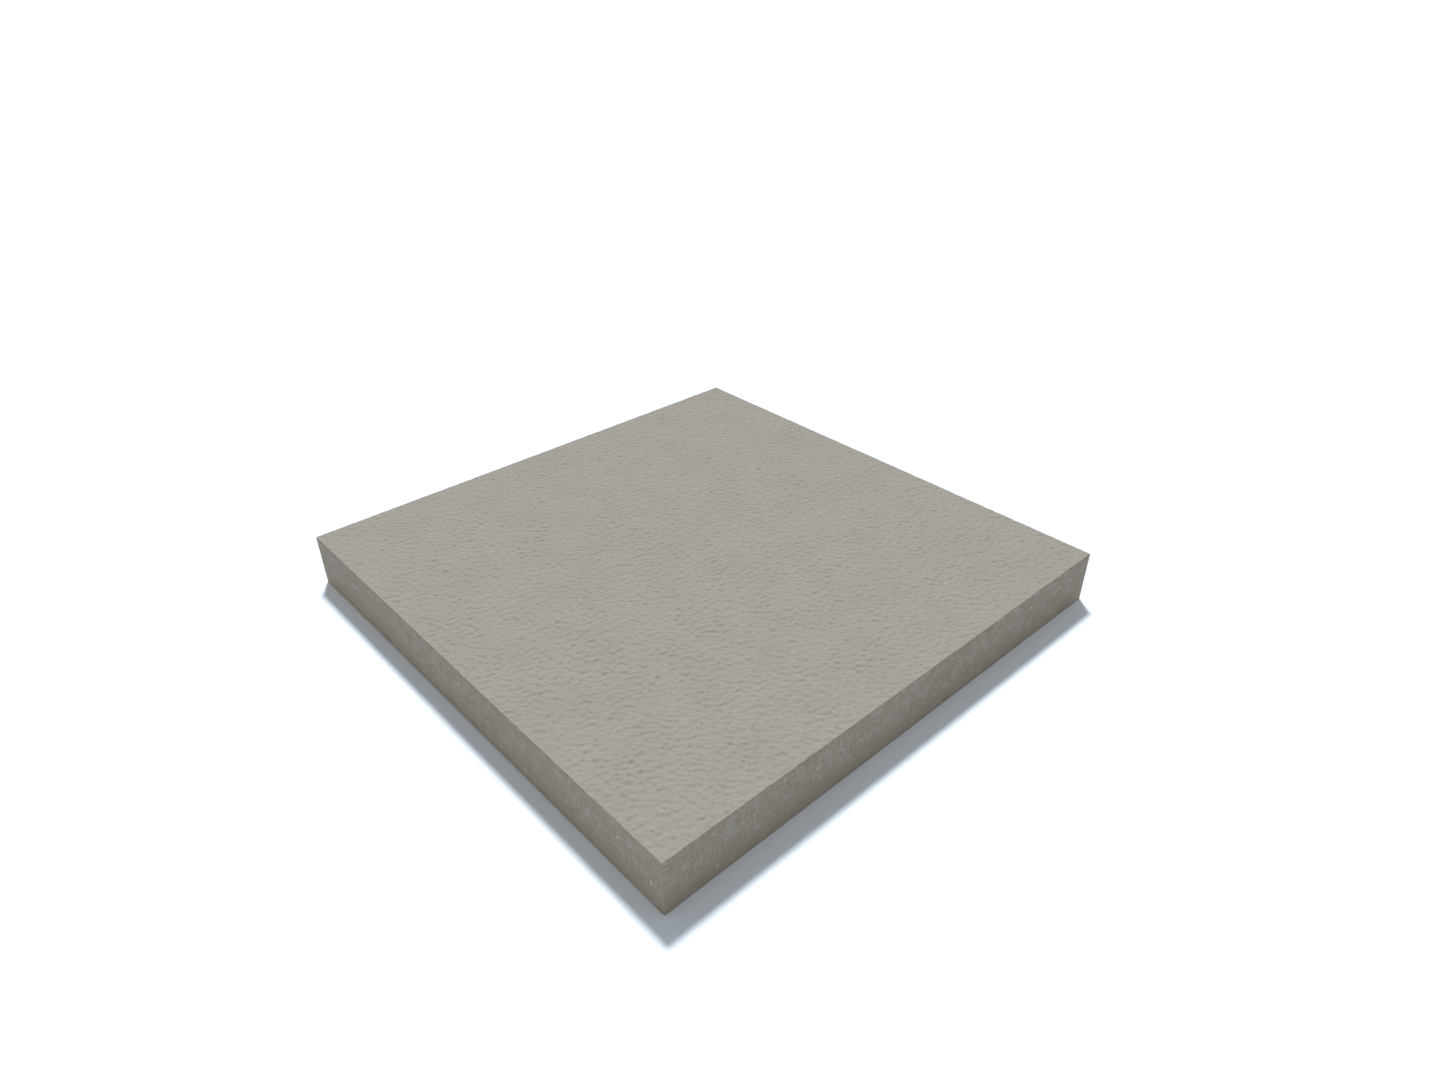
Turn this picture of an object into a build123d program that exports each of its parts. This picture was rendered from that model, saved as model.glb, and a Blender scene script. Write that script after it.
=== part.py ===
from build123d import *
import os

# Square concrete paving slab, cast and pressed as one piece of concrete.
# Millimetres. The origin is the centre of the underside, and +Z is up.
# The wearing face is the top, and the four sides stand upright.

# Driving dimensions
slab_length = 500.0       # along X
slab_width = 500.0        # along Y
slab_thickness = 50.0     # underside to wearing face
corner_chamfer = 0.6      # the four upright corners, as the mould leaves them
top_arris_radius = 0.5    # edge of the wearing face, broken just enough not to crumble
base_arris_chamfer = 0.5  # edge of the underside, where the mould meets its base plate

with BuildPart() as paving_slab:
    # Plan of the slab, with the narrow flats of the mould's corners
    with BuildSketch(Plane.XY) as plan:
        Rectangle(slab_length, slab_width)
        chamfer(plan.vertices(), length=corner_chamfer)
    extrude(amount=slab_thickness)

    # Fine rounded arris on the wearing face, and a flat one on the underside
    level_edges = paving_slab.edges().filter_by(Plane.XY).group_by(Axis.Z)
    wearing_face_edges = level_edges[-1]
    underside_edges = level_edges[0]
    fillet(wearing_face_edges, radius=top_arris_radius)
    chamfer(underside_edges, length=base_arris_chamfer)

paving_slab.part.label = "paving_slab"

os.makedirs("parts", exist_ok=True)
export_step(paving_slab.part, "parts/paving_slab.step")
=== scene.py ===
import math

import bpy
import numpy as np
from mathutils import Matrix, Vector


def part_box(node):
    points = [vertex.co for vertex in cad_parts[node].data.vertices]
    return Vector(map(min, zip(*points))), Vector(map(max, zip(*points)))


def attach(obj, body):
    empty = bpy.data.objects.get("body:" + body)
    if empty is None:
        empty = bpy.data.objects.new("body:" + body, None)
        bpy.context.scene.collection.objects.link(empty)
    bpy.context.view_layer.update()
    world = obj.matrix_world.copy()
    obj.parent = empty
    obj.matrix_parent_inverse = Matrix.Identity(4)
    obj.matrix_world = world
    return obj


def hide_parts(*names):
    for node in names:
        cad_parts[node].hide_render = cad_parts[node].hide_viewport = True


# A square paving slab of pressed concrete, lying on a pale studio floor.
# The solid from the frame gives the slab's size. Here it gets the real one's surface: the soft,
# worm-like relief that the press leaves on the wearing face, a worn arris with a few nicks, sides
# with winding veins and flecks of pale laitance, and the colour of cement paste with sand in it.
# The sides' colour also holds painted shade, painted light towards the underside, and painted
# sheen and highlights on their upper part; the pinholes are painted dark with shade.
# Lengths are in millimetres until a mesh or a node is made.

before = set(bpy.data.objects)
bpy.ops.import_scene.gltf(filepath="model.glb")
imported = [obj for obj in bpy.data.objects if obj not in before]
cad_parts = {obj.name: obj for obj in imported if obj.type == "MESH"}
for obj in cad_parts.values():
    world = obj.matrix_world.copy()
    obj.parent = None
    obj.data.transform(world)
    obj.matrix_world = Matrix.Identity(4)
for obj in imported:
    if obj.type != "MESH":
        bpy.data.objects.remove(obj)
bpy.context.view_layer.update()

MM = 0.001
DIAGONAL = math.sqrt(0.5)
low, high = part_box("paving_slab")
half = (high.x - low.x) / 2 / MM
thickness = (high.z - low.z) / MM
tolerance = 0.01         # two places this close are the same

# Edges of the slab
arris = 0.5              # radius round the wearing face
corner_radius = 0.8      # the four upright corners
base_chamfer = 0.5       # flat round the underside
support = 0.4            # width of the narrow strip that keeps each arris crisp

# How finely the surface is cut into faces
cells = 288              # along each side of the wearing face
side_rows = 5            # down each side
coarse_step = 6          # fine cells to each cell of the underside
base_margin = 6.0        # width of the strip where the underside's cells change size

# Samples of the relief fields
field_step = 0.5
finest_wave = 3.6        # anything shorter is left to the material
plan_margin = 12.0       # the fields run on past the slab, because they repeat
side_margin = 14.0
arris_strip = 2.0        # wear changes along the arris only, so its field is narrow
face_size = (2 * half + plan_margin, 2 * half + plan_margin)
side_size = (2 * half + plan_margin, thickness + side_margin)
arris_size = (2 * half + plan_margin, arris_strip)

# Relief of the pressed wearing face
relief_wave = 7.7        # ridge to ridge
relief_spread = 0.36     # how far the waves differ from that, as the spread of a logarithm
relief_stretch = 1.25    # ridges are this much longer from one corner to the opposite one
relief_depth = 0.28
ridge_top = 1.0          # the press flattens the ridges at this share of relief_depth
valley_floor = 2.5       # and the valleys reach down to this one
edge_relief = 0.35       # share of the relief that is left at the arris
edge_reach = 6.0         # how far in from the arris the relief has its full height
rim_lift = 0.2           # the face rises this much towards its arris
rim_reach = 12.0
swell_wave = 48.0        # slow swell under the ridges
swell_spread = 0.45
swell_depth = 0.045

# Relief of the other faces
side_wave = 28.0
side_spread = 0.4
side_depth = 0.03
base_wave = 26.0
base_spread = 0.5
base_depth = 0.10
base_contact = 0.6       # the underside bears where its waves reach this share of the highest one
base_reach = 6.0         # how far in from the chamfer the hollows have their full depth

# Wear of the wearing face's arris
wear_depth = 0.07
wear_wave = 34.0
wear_spread = 0.5
wear_reach = 0.8
worn_below = 0.12        # a point this far under the pressed surface is worn

# Nicks in the arris: face, place along it, length and depth
nicks = [
    ("y-", -59.0, 4.0, 0.6),
    ("y-", 169.0, 6.0, 0.5),
    ("x-", -150.0, 4.0, 0.4),
    ("x-", -128.0, 4.0, 0.5),
    ("x-", 200.0, 5.0, 0.5),
    ("x-", 224.0, 4.0, 0.5),
    ("x+", -171.0, 5.0, 0.5),
    ("x+", 36.0, 4.0, 0.4),
    ("y+", -88.0, 5.0, 0.5),
    ("y+", 142.0, 4.0, 0.6),
]
nick_reach = 1.6         # across the arris, in depths
nick_share = 0.7         # share of the depth that goes into each of the two faces
nick_rough = 0.6         # the shallowest point of a rough nick, in depths

# Each side, with the axis and the direction that it faces
sides = {"x+": (0, 1), "y+": (1, 1), "x-": (0, -1), "y-": (1, -1)}

# Seeds of the random patterns. The sides count on from the last two.
relief_seed = 11
swell_seed = 12
base_seed = 13
nick_seed = 21
side_seed = 40
wear_seed = 60

# Colours of the concrete, among them painted shade, light, sheen and highlights. Each mark has
# its own, and covers what is under it by a share.
paste_dark, paste_light = "928679", "95897B"  # clouds in the cement paste
side_shade_tone = ("827667", 0.6)       # painted shade: the sides are painted darker and browner than the wearing face
painted_low_light = ("A2937F", 0.6)        # painted light: the sides are painted lighter and warmer towards the underside
stain_tone = ("836D5C", 0.4)
painted_sheen_tone = ("A39A8E", 0.4)       # painted sheen: pale patches on the upper part of the sides
# painted highlight: the pale colour of the veins on the sides
vein_highlight_tone = ("A39A8E", 0.44)
fleck_tone = ("B3AB9E", 0.75)
# painted shade: the dark colour inside the pinholes
pinhole_shade_tone = ("5F5648", 0.4)
sand_tone = ("B3ACA1", 0.4)
floor_tone = "EDEDED"

# Patches of noise: their size, the seed of their pattern, the noise where they start to show and
# where they are whole, and its detail
paste_clouds = {"size": 40.0, "seed": 1.0, "start": 0.30, "whole": 0.70, "detail": 3.0}
stain_clouds = {"size": 16.0, "seed": 8.0, "start": 0.50, "whole": 0.75, "detail": 2.0}
sheen_clouds = {"size": 7.0, "seed": 7.0, "start": 0.42, "whole": 0.70, "detail": 1.5}
vein_breaks = {"size": 9.0, "seed": 2.0, "start": 0.36, "whole": 0.46, "detail": 1.0}
vein_turns = {"size": 14.0, "seed": 22.0, "start": 0.46, "whole": 0.54, "detail": 1.0}

# Marks on the sides
low_band = 20.0          # height at which the painted lighter, warmer band ends
sheen_start = 6.0         # the painted sheen starts at this height
sheen_whole = 24.0        # and is whole at this one
vein_spacing = 4.8       # winding veins; their pale colour is painted highlight on their ridges
vein_bend = 2.2          # how far the veins stray from straight lines, in veins
vein_bend_cell = 13.0
lying_seed, standing_seed = 20.0, 21.0
vein_start, vein_whole = 0.15, 0.95  # height of the wave where a vein starts and where it is whole
vein_middle = (-0.15, -0.25, 0.045)  # middle of the place where they and their painted highlights are plainest, in metres
vein_near, vein_far = 0.10, 0.21     # and how far from it they start and end to fade, in metres
vein_rest = 0.35         # strength of the veins beyond
vein_rise = 0.10
fleck_spacing, fleck_radius, fleck_share = 13.0, 2.2, 0.7
fleck_rise = 0.25

# Marks on the wearing face
pinhole_spacing, pinhole_radius, pinhole_share = 33.0, 1.3, 0.6
pinhole_rise = -0.4
grain_spacing, grain_radius, grain_share = 23.0, 1.4, 0.5
grain_rise = 0.2
crease_cell = 6.0        # the narrow creases between the pressed ridges
crease_seed = 4.0
crease_kink = 0.3        # how much they wind
crease_round = 0.03      # keeps their bottoms from being sharp
crease_rise = 1.2
ripple_cell = 3.8        # ripples finer than the mesh shows
ripple_seed = 6.0
ripple_rise = 1.8

# On every face
sand_cell = 1.2          # real sand is finer, and wouldn't show
sand_seed = 5.0
sand_rise = 0.04
side_roughness = 0.85    # the mould's steel leaves the sides a little smoother
wearing_roughness = 0.9
upright_under = 0.3      # a face is upright where its normal rises or falls less than this
level_over = 0.8         # and level where it does so more than this

# Any ragged round mark
spot_wobble = 2.4        # how ragged its outline is, in radii
spot_core = 0.3          # it is whole up to this share of its radius
spot_smallest = 0.45     # size of the smallest, to the largest
spot_faintest = 0.3      # strength of the faintest


def linear(hex_colour):
    """An sRGB colour such as "A6A299" as the linear RGBA that the shader takes."""
    values = [int(hex_colour[i : i + 2], 16) / 255 for i in (0, 2, 4)]
    return [v / 12.92 if v <= 0.04045 else ((v + 0.055) / 1.055) ** 2.4 for v in values] + [1.0]


def per_metre(size_mm):
    """The texture scale whose pattern repeats about every size_mm."""
    return 1000.0 / size_mm


# What several shader nodes share
eased = {"interpolation_type": "SMOOTHSTEP"}
seeded = {"noise_dimensions": "4D"}  # the fourth one, W, is the pattern's seed
falling = {"To Min": 1.0, "To Max": 0.0}


def add_node(tree, kind, inputs, **settings):
    """Adds a shader node and gives its outputs. An input is a value, or an output to link."""
    made = tree.nodes.new("ShaderNode" + kind)
    for name, value in settings.items():
        setattr(made, name, value)
    for socket, value in inputs.items():
        if isinstance(value, bpy.types.NodeSocket):
            tree.links.new(value, made.inputs[socket])
        else:
            made.inputs[socket].default_value = value
    return made.outputs


# Relief fields

def wave_field(size, wave, spread, seed, stretch=1.0):
    """A smooth random height field of size (x, y) mm, with waves near one length and an RMS of 1.
    The waves are stretched along the diagonal of +x and -y."""
    count = [int(round(s / field_step)) for s in size]
    fx = np.fft.fftfreq(count[0], field_step)[:, None]
    fy = np.fft.fftfreq(count[1], field_step)[None, :]
    frequency = np.hypot((fx + fy) * DIAGONAL, (fx - fy) * DIAGONAL * stretch)
    frequency[0, 0] = 1e-6
    gain = np.exp(-(np.log(frequency * wave) ** 2) / (2 * spread**2))
    gain[np.hypot(fx, fy) > 1 / finest_wave] = 0
    grain = np.random.default_rng(seed).standard_normal(count)
    field = np.fft.ifft2(np.fft.fft2(grain) * gain).real
    return field / field.std()


def read_field(field, x, y):
    """The field's height at each (x, y), between its samples. It repeats past its edges."""
    gx, gy = x / field_step, y / field_step
    ix, iy = np.floor(gx).astype(int), np.floor(gy).astype(int)
    tx, ty = gx - ix, gy - iy
    nx, ny = field.shape
    a, b = field[ix % nx, iy % ny], field[(ix + 1) % nx, iy % ny]
    c, d = field[ix % nx, (iy + 1) % ny], field[(ix + 1) % nx, (iy + 1) % ny]
    return (a * (1 - tx) + b * tx) * (1 - ty) + (c * (1 - tx) + d * tx) * ty


def pressed_relief():
    """The worm-like relief: ridges that the press has flattened, and narrower, deeper valleys."""
    waves = wave_field(face_size, relief_wave, relief_spread, relief_seed, relief_stretch)
    ridges = ridge_top * np.tanh(waves / ridge_top)
    valleys = valley_floor * np.tanh(waves / valley_floor)
    return relief_depth * np.where(waves > 0, ridges, valleys)


# The slab's mesh

def side_places():
    """Places along one side, from corner to corner, with narrow cells at both ends."""
    inner = np.linspace(-half + corner_radius, half - corner_radius, cells - 1)
    return np.concatenate([[-half + arris], inner, [half - arris]])


def ring(inset, height):
    """One loop of points round the slab, anticlockwise from above, at an inset from its sides."""
    along = side_places()[1:-1]
    edge = half - inset
    corner = edge - (1 - DIAGONAL) * max(corner_radius - inset, 0)
    loop = []
    for turn in range(4):
        x = np.concatenate([[-corner], along])
        y = np.concatenate([[-corner], np.full(along.size, -edge)])
        for _ in range(turn):
            x, y = -y, x
        loop.append(np.stack([x, y, np.full(x.size, height)], 1))
    return np.concatenate(loop)


def ring_levels():
    """Inset and height of each loop, from the arris down the side and in under the slab."""
    bend = arris * (1 - DIAGONAL)
    rows = np.linspace(thickness - arris - support, base_chamfer + support, side_rows + 1)
    above = [(bend, thickness - bend), (0, thickness - arris)]
    below = [(0, base_chamfer), (base_chamfer, 0), (base_chamfer + support, 0)]
    return above + [(0, z) for z in rows] + below


# The loops of ring_levels() between which the side is flat
first_row = 2
last_row = first_row + side_rows


def grid_numbers(start, count):
    """Vertex numbers of a square grid of count by count cells."""
    return start + np.arange((count + 1) ** 2).reshape(count + 1, count + 1)


def perimeter(numbers):
    """The numbers round a grid's edge, in the order that ring() uses."""
    front, right = numbers[:-1, 0], numbers[-1, :-1]
    back, left = numbers[:0:-1, -1], numbers[0, :0:-1]
    return np.concatenate([front, right, back, left])


def grid_faces(numbers):
    """The quads of a grid, facing up."""
    corners = [numbers[:-1, :-1], numbers[1:, :-1], numbers[1:, 1:], numbers[:-1, 1:]]
    return np.stack(corners, -1).reshape(-1, 4)


def band_faces(upper, lower):
    """The quads between two loops of as many points, facing outwards."""
    return np.stack([upper, lower, np.roll(lower, -1), np.roll(upper, -1)], 1)


def stitch_faces(outer, inner):
    """The triangles under the slab from a fine loop to a coarse one inside it, facing down."""
    faces = []
    middle = coarse_step // 2
    for k in range(len(inner)):
        here, after = inner[k], inner[(k + 1) % len(inner)]
        fine = [outer[(k * coarse_step + q) % len(outer)] for q in range(coarse_step + 1)]
        for q in range(coarse_step):
            faces.append([fine[q + 1], fine[q], here if q < middle else after])
        faces.append([fine[middle], here, after])
    return np.array(faces)


def slab_surface():
    """Points and faces of the plain slab: wearing face, arrises, sides and underside."""
    places = side_places()
    x, y = np.meshgrid(places, places, indexing="ij")
    top = np.stack([x.ravel(), y.ravel(), np.full(x.size, thickness)], 1)
    numbers = grid_numbers(0, cells)
    upper = perimeter(numbers)
    top[upper] = ring(arris, thickness)

    points = [top]
    faces = [grid_faces(numbers)]
    start = len(top)
    for inset, height in ring_levels():
        loop = ring(inset, height)
        lower = start + np.arange(len(loop))
        faces.append(band_faces(upper, lower))
        points.append(loop)
        start += len(loop)
        upper = lower

    coarse = cells // coarse_step
    reach = half - (base_chamfer + support + base_margin)
    flat = np.linspace(-reach, reach, coarse + 1)
    x, y = np.meshgrid(flat, flat, indexing="ij")
    points.append(np.stack([x.ravel(), y.ravel(), np.zeros(x.size)], 1))
    numbers = grid_numbers(start, coarse)
    faces.append(grid_faces(numbers)[:, ::-1])
    faces.append(stitch_faces(upper, perimeter(numbers)))
    return np.concatenate(points), faces


def inboard(x, y):
    """How far each (x, y) lies in from the nearest side."""
    return half - np.maximum(abs(x), abs(y))


def wearing_height(fields, x, y):
    """Height of the wearing face at each (x, y), up to 0."""
    ridges, swell = fields
    inside = inboard(x, y)
    calm = edge_relief + (1 - edge_relief) * np.clip(inside / edge_reach, 0, 1)
    rim = rim_lift * np.exp(-np.clip(inside, 0, None) / rim_reach)
    relief = calm * (read_field(ridges, x, y) + read_field(swell, x, y))
    return np.minimum(relief + rim - ridges.max() - swell.max(), 0)


def cast_surface(points, fields):
    """Presses the relief, the wear and the nicks into the plain slab. Nothing moves outwards."""
    x, y, z = points.T.copy()
    near_top = np.clip(1 - (thickness - z) / arris, 0, 1)
    points[:, 2] += near_top * wearing_height(fields, x, y)

    hollows = base_depth * wave_field(face_size, base_wave, base_spread, base_seed)
    hollows = np.clip(hollows.max() * base_contact - hollows, 0, None)
    inside = np.clip((inboard(x, y) - base_chamfer) / base_reach, 0, 1)
    points[:, 2] += (z < tolerance) * inside * read_field(hollows, x, y)

    edges = {}
    for k, (name, (axis, sign)) in enumerate(sides.items()):
        across, along = (x, y) if axis == 0 else (y, x)
        gap = half - sign * across
        to_arris = np.hypot(gap, thickness - z)
        near_side = np.clip(1 - gap / arris, 0, 1)
        waves = side_depth * wave_field(side_size, side_wave, side_spread, side_seed + k)
        wear = wear_depth * abs(wave_field(arris_size, wear_wave, wear_spread, wear_seed + k))
        wear = read_field(wear, along, along * 0) * np.exp(-((to_arris / wear_reach) ** 2))
        points[:, axis] -= sign * (near_side * read_field(waves.max() - waves, along, z) + wear)
        points[:, 2] -= wear
        edges[name] = to_arris, along

    draws = np.random.default_rng(nick_seed)
    for name, place, length, depth in nicks:
        axis, sign = sides[name]
        to_arris, along = edges[name]
        bite = 1 - ((along - place) / (length / 2)) ** 2 - (to_arris / (depth * nick_reach)) ** 2
        bite = np.clip(bite, 0, 1) * depth * draws.uniform(nick_rough, 1.0, len(x)) * nick_share
        points[:, axis] -= sign * bite
        points[:, 2] -= bite


def true_normals(mesh, fields, x, y, unworn):
    """Gives the wearing face the normals of the relief itself, which is finer than its faces, and
    keeps the shading of each side flat up to its arrises."""
    normals = np.empty(len(mesh.vertices) * 3, dtype=np.float32)
    mesh.vertex_normals.foreach_get("vector", normals)
    normals = normals.reshape(-1, 3)

    step = field_step
    rise_x = wearing_height(fields, x + step, y) - wearing_height(fields, x - step, y)
    rise_y = wearing_height(fields, x, y + step) - wearing_height(fields, x, y - step)
    exact = np.stack([-rise_x, -rise_y, np.full(len(x), 2 * step)], 1)
    exact /= np.linalg.norm(exact, axis=1)[:, None]
    top_count = (cells + 1) ** 2
    on_top = np.arange(len(x)) < top_count
    pressed = on_top & unworn & (inboard(x, y) > arris - tolerance)
    normals[pressed] = exact[pressed]

    loop_count, around = len(ring_levels()), 4 * cells
    loops = normals[top_count : top_count + loop_count * around].reshape(loop_count, around, 3)
    loops[first_row - 1] = loops[first_row]
    loops[last_row + 1] = loops[last_row]
    mesh.normals_split_custom_set_from_vertices(normals.tolist())


def make_slab():
    """The slab with its cast surface, as one closed mesh."""
    points, faces = slab_surface()
    x, y = points[:, 0].copy(), points[:, 1].copy()
    swell = swell_depth * wave_field(face_size, swell_wave, swell_spread, swell_seed)
    fields = pressed_relief(), swell
    cast_surface(points, fields)
    polygons = [face for group in faces for face in group.tolist()]
    mesh = bpy.data.meshes.new("pressed_slab")
    mesh.from_pydata((points * MM).tolist(), [], polygons)
    mesh.validate()
    mesh.shade_smooth()
    unworn = thickness + wearing_height(fields, x, y) - points[:, 2] < worn_below
    true_normals(mesh, fields, x, y, unworn)
    piece = bpy.data.objects.new("pressed_slab", mesh)
    bpy.context.collection.objects.link(piece)
    return piece


# Materials

def masked(tree, marks, *masks):
    """The marks, only as strong as every mask lets them show."""
    for mask in masks:
        marks = add_node(tree, "Math", {0: marks, 1: mask}, operation="MULTIPLY")[0]
    return marks


def patches(tree, place, size, seed, start, whole, detail):
    """Soft patches of size millimetres: 0 where noise is under start, 1 where it is over whole."""
    inputs = {"Vector": place, "W": seed, "Scale": per_metre(size), "Detail": detail}
    cloud = add_node(tree, "TexNoise", inputs, **seeded)["Fac"]
    inputs = {"Value": cloud, "From Min": start, "From Max": whole}
    return add_node(tree, "MapRange", inputs, **eased)[0]


def spots(tree, place, spacing, radius, share):
    """Ragged marks of uneven size and strength on a flat face: near 1 in the middle of each, 0
    outside it. Only a share of the cells has one."""
    inputs = {"Vector": place, "Scale": per_metre(radius * 2), "Detail": 1.0}
    wobble = add_node(tree, "TexNoise", inputs)["Color"]
    inputs = {0: wobble, "Scale": radius * spot_wobble * MM}
    wobble = add_node(tree, "VectorMath", inputs, operation="SCALE")[0]
    ragged = add_node(tree, "VectorMath", {0: place, 1: wobble}, operation="ADD")[0]
    inputs = {"Vector": ragged, "Scale": per_metre(spacing)}
    cell = add_node(tree, "TexVoronoi", inputs, voronoi_dimensions="2D")
    chance, strength, _ = add_node(tree, "SeparateColor", {0: cell["Color"]})

    size = add_node(tree, "MapRange", {"Value": strength, "To Min": spot_smallest}, **eased)[0]
    away = add_node(tree, "Math", {0: cell["Distance"], 1: size}, operation="DIVIDE")[0]
    reach = radius / spacing
    inputs = {"Value": away, "From Min": reach * spot_core, "From Max": reach, **falling}
    disc = add_node(tree, "MapRange", inputs, **eased)[0]
    faint = add_node(tree, "MapRange", {"Value": strength, "To Min": spot_faintest}, **eased)[0]
    chosen = add_node(tree, "Math", {0: chance, 1: share}, operation="LESS_THAN")[0]
    return masked(tree, disc, faint, chosen)


def labyrinth(tree, along, up, place):
    """Winding lines that lie in some places and stand in others, as in a maze: 1 on a line."""
    standing = patches(tree, place, **vein_turns)
    lying = add_node(tree, "Math", {0: 1.0, 1: standing}, operation="SUBTRACT")[0]
    turn = 2 * math.pi
    both = 0.0
    for run, where, seed in ((up, lying, lying_seed), (along, standing, standing_seed)):
        inputs = {"Vector": place, "W": seed, "Scale": per_metre(vein_bend_cell), "Detail": 1.0}
        stray = masked(tree, add_node(tree, "TexNoise", inputs, **seeded)["Fac"], turn * vein_bend)
        inputs = {0: run, 1: turn * per_metre(vein_spacing), 2: stray}
        phase = add_node(tree, "Math", inputs, operation="MULTIPLY_ADD")[0]
        wave = add_node(tree, "Math", {0: phase}, operation="SINE")[0]
        both = add_node(tree, "Math", {0: wave, 1: where, 2: both}, operation="MULTIPLY_ADD")[0]
    inputs = {"Value": both, "From Min": vein_start, "From Max": vein_whole}
    return add_node(tree, "MapRange", inputs, **eased)[0]


def pressed_concrete():
    """Cement paste and fine sand, pressed in a steel mould: dense, matt, faintly mottled. Cement
    has an IOR of about 1.5 and no metal in it, as the shader has by itself."""
    material = bpy.data.materials.new("pressed_concrete")
    material.use_nodes = True
    tree = material.node_tree
    shader = tree.nodes["Principled BSDF"]

    # Places on the wearing face, the same ones turned and stretched with its ridges, and places on
    # any side
    coordinates = add_node(tree, "TexCoord", {})
    place = coordinates["Object"]
    x, y, height = add_node(tree, "SeparateXYZ", {0: place})
    sum_xy = add_node(tree, "Math", {0: x, 1: y}, operation="ADD")[0]
    difference = add_node(tree, "Math", {0: x, 1: y}, operation="SUBTRACT")[0]
    plan = add_node(tree, "CombineXYZ", {0: x, 1: y})[0]
    across_ridges = masked(tree, sum_xy, DIAGONAL)
    along_ridges = masked(tree, difference, DIAGONAL / relief_stretch)
    ridged = add_node(tree, "CombineXYZ", {0: across_ridges, 1: along_ridges})[0]
    elevation = add_node(tree, "CombineXYZ", {0: difference, 1: height})[0]

    # Masks that are 1 on the level faces and on the upright ones
    facing = add_node(tree, "SeparateXYZ", {0: coordinates["Normal"]})[2]
    facing = add_node(tree, "Math", {0: facing}, operation="ABSOLUTE")[0]
    inputs = {"Value": facing, "From Min": upright_under, "From Max": level_over}
    level = add_node(tree, "MapRange", inputs, **eased)[0]
    upright = add_node(tree, "Math", {0: 1.0, 1: level}, operation="SUBTRACT")[0]

    # Sides: painted shade all over, painted lighter and warmer towards the underside, stained,
    # with painted sheen and veins with painted highlights on their upper part, and flecks of
    # laitance
    # Painted light: the lower part of each side is painted lighter and warmer
    inputs = {"Value": height, "From Max": low_band * MM, **falling}
    low_light_mask = masked(tree, upright, add_node(tree, "MapRange", inputs, **eased)[0])
    stain = masked(tree, patches(tree, place, **stain_clouds), upright)
    # Painted sheen: pale patches painted on the upper part of each side
    inputs = {"Value": height, "From Min": sheen_start * MM, "From Max": sheen_whole * MM}
    upper = add_node(tree, "MapRange", inputs, **eased)[0]
    painted_sheen = masked(tree, patches(tree, place, **sheen_clouds), upper, upright)
    inputs = {0: place, 1: vein_middle}
    away = add_node(tree, "VectorMath", inputs, operation="DISTANCE")["Value"]
    inputs = {"Value": away, "From Min": vein_near, "From Max": vein_far}
    inputs.update({"To Min": 1.0, "To Max": vein_rest})
    plainest = add_node(tree, "MapRange", inputs, **eased)[0]
    broken = patches(tree, place, **vein_breaks)
    # Painted highlight: the veins are painted pale, most near vein_middle and on the upper part
    veins_and_highlights = masked(tree, labyrinth(tree, sum_xy, height, place), broken, plainest, upper, upright)
    flecks = spots(tree, elevation, fleck_spacing, fleck_radius, fleck_share)
    flecks = masked(tree, flecks, upright)

    # Wearing face: a few pinholes, painted dark with the shade inside them, and grains of sand
    # that stand proud
    pinholes_and_shade = spots(tree, plan, pinhole_spacing, pinhole_radius, pinhole_share)
    pinholes_and_shade = masked(tree, pinholes_and_shade, level)
    grains = masked(tree, spots(tree, plan, grain_spacing, grain_radius, grain_share), level)

    # The colour, mark over mark
    clouds = patches(tree, place, **paste_clouds)
    inputs = {"Factor": clouds, "A": linear(paste_dark), "B": linear(paste_light)}
    tone = add_node(tree, "Mix", inputs, data_type="RGBA")["Result"]
    # Painted shade darkens the sides and the pinholes; painted light, sheen and highlights lighten
    # the sides
    for marks, (colour, share) in (
        (upright, side_shade_tone),
        (low_light_mask, painted_low_light),
        (stain, stain_tone),
        (painted_sheen, painted_sheen_tone),
        (veins_and_highlights, vein_highlight_tone),
        (flecks, fleck_tone),
        (pinholes_and_shade, pinhole_shade_tone),
        (grains, sand_tone),
    ):
        inputs = {"Factor": masked(tree, marks, share), "A": tone, "B": linear(colour)}
        tone = add_node(tree, "Mix", inputs, data_type="RGBA")["Result"]

    # Creases run where the noise passes its middle, as narrow valleys between rounded ridges
    inputs = {"Vector": ridged, "W": crease_seed, "Scale": per_metre(crease_cell), "Detail": 1.0}
    inputs["Distortion"] = crease_kink
    ridge = add_node(tree, "TexNoise", inputs, **seeded)["Fac"]
    ridge = add_node(tree, "Math", {0: ridge, 1: 0.5}, operation="SUBTRACT")[0]
    inputs = {0: ridge, 1: ridge, 2: crease_round**2}
    ridge = add_node(tree, "Math", inputs, operation="MULTIPLY_ADD")[0]
    creases = masked(tree, add_node(tree, "Math", {0: ridge}, operation="SQRT")[0], level)
    inputs = {"Vector": ridged, "W": ripple_seed, "Scale": per_metre(ripple_cell), "Detail": 0.0}
    ripples = masked(tree, add_node(tree, "TexNoise", inputs, **seeded)["Fac"], level)
    inputs = {"Vector": place, "W": sand_seed, "Scale": per_metre(sand_cell), "Detail": 2.0}
    sand = add_node(tree, "TexNoise", inputs, **seeded)["Fac"]

    # The bump, mark over mark
    inputs = {}
    for marks, rise in (
        (creases, crease_rise),
        (ripples, ripple_rise),
        (veins_and_highlights, vein_rise),
        (flecks, fleck_rise),
        (grains, grain_rise),
        (pinholes_and_shade, pinhole_rise),
        (sand, sand_rise),
    ):
        inputs.update({"Height": marks, "Distance": rise * MM, "Strength": 1.0})
        inputs["Normal"] = add_node(tree, "Bump", inputs)["Normal"]

    tree.links.new(inputs["Normal"], shader.inputs["Normal"])

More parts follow.
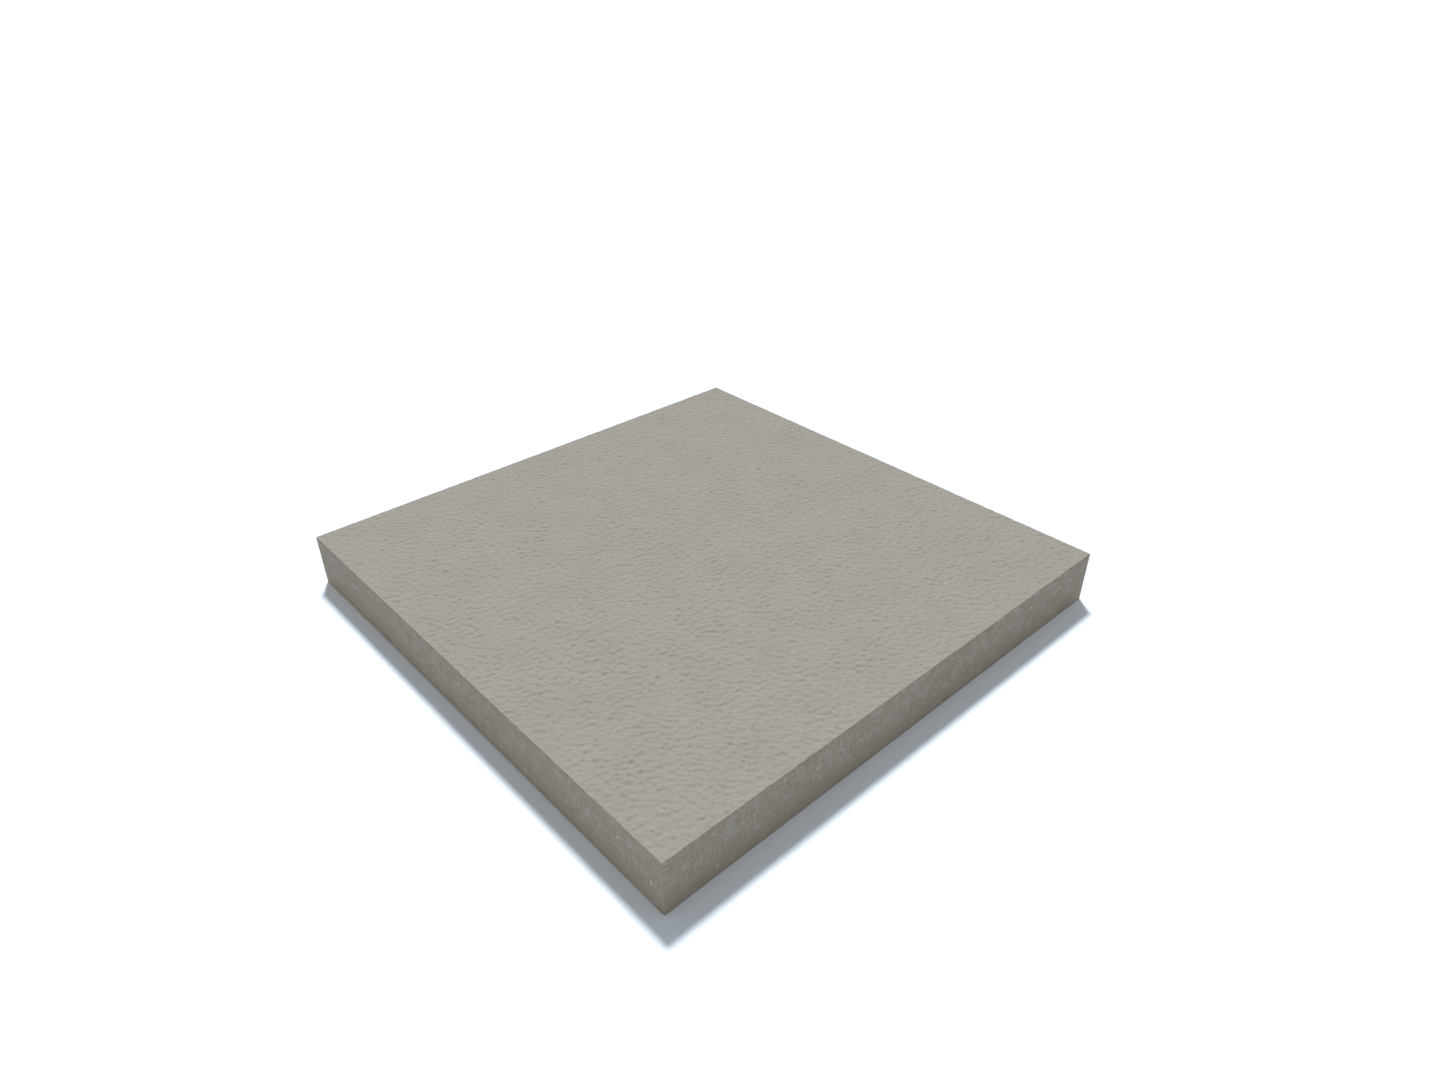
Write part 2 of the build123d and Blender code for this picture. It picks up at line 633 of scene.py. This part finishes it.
    inputs = {"Value": level, "To Min": side_roughness, "To Max": wearing_roughness}
    rough = add_node(tree, "MapRange", inputs, **eased)[0]
    tree.links.new(rough, shader.inputs["Roughness"])
    tree.links.new(tone, shader.inputs["Base Color"])
    return material


def white_floor():
    """Matt white studio card: it shows the slab's shadow and no shine."""
    material = bpy.data.materials.new("white_floor")
    material.use_nodes = True
    shader = material.node_tree.nodes["Principled BSDF"]
    shader.inputs["Base Color"].default_value = linear(floor_tone)
    shader.inputs["Roughness"].default_value = 1.0
    shader.inputs["Specular IOR Level"].default_value = 0.0
    return material


# Stage, light and camera

def make_floor():
    """A floor that reaches 30 m each way, so that its edge doesn't show."""
    reach = 30.0
    corners = [(-reach, -reach, 0), (reach, -reach, 0), (reach, reach, 0), (-reach, reach, 0)]
    mesh = bpy.data.meshes.new("floor")
    mesh.from_pydata(corners, [], [(0, 1, 2, 3)])
    mesh.materials.append(white_floor())
    floor = bpy.data.objects.new("floor", mesh)
    bpy.context.collection.objects.link(floor)


def add_sun(name, energy, tint, angle, direction):
    """A lamp far away in a direction from the slab, whose disc spans an angle in degrees."""
    sun = bpy.data.lights.new(name, "SUN")
    sun.energy = energy
    sun.color = tint
    sun.angle = math.radians(angle)
    lamp = bpy.data.objects.new(name, sun)
    lamp.rotation_euler = (-Vector(direction)).to_track_quat("-Z", "Y").to_euler()
    bpy.context.collection.objects.link(lamp)


def make_light():
    """A soft key light high behind the slab, a weak one at the left, and a pale cool dome that
    the camera sees as white."""
    add_sun("key", energy=3.70, tint=(0.829, 0.917, 1.0), angle=7.5, direction=(0.288, 0.400, 1.0))
    add_sun("side_fill", energy=0.25, tint=(1.0, 1.0, 1.0), angle=40.0,
            direction=(-0.85, -0.45, 0.25))

    world = bpy.data.worlds.new("dome")
    bpy.context.scene.world = world
    world.use_nodes = True
    tree = world.node_tree
    tree.nodes.clear()
    fill = add_node(tree, "Background", {"Color": (0.787, 0.889, 1.0, 1), "Strength": 0.478})[0]
    white = add_node(tree, "Background", {"Color": (1, 1, 1, 1), "Strength": 1.0})[0]
    to_camera = add_node(tree, "LightPath", {})["Is Camera Ray"]
    both = add_node(tree, "MixShader", {0: to_camera, 1: fill, 2: white})[0]
    add_node(tree, "OutputWorld", {"Surface": both})


def make_camera():
    """The photograph's own view: a 24 mm lens on a 36 mm sensor, close to the front corner."""
    data = bpy.data.cameras.new("camera")
    data.lens = 24.0
    data.sensor_width = 36.0
    camera = bpy.data.objects.new("camera", data)
    camera.location = (-0.48284, -0.55738, 0.52908)
    camera.rotation_euler = (math.radians(57.10), 0, math.radians(-42.74))
    bpy.context.collection.objects.link(camera)
    bpy.context.scene.camera = camera


make_camera()
make_light()
make_floor()
slab = make_slab()
slab.data.materials.append(pressed_concrete())
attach(slab, "root")
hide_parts("paving_slab")

bpy.context.scene.view_settings.view_transform = "Standard"
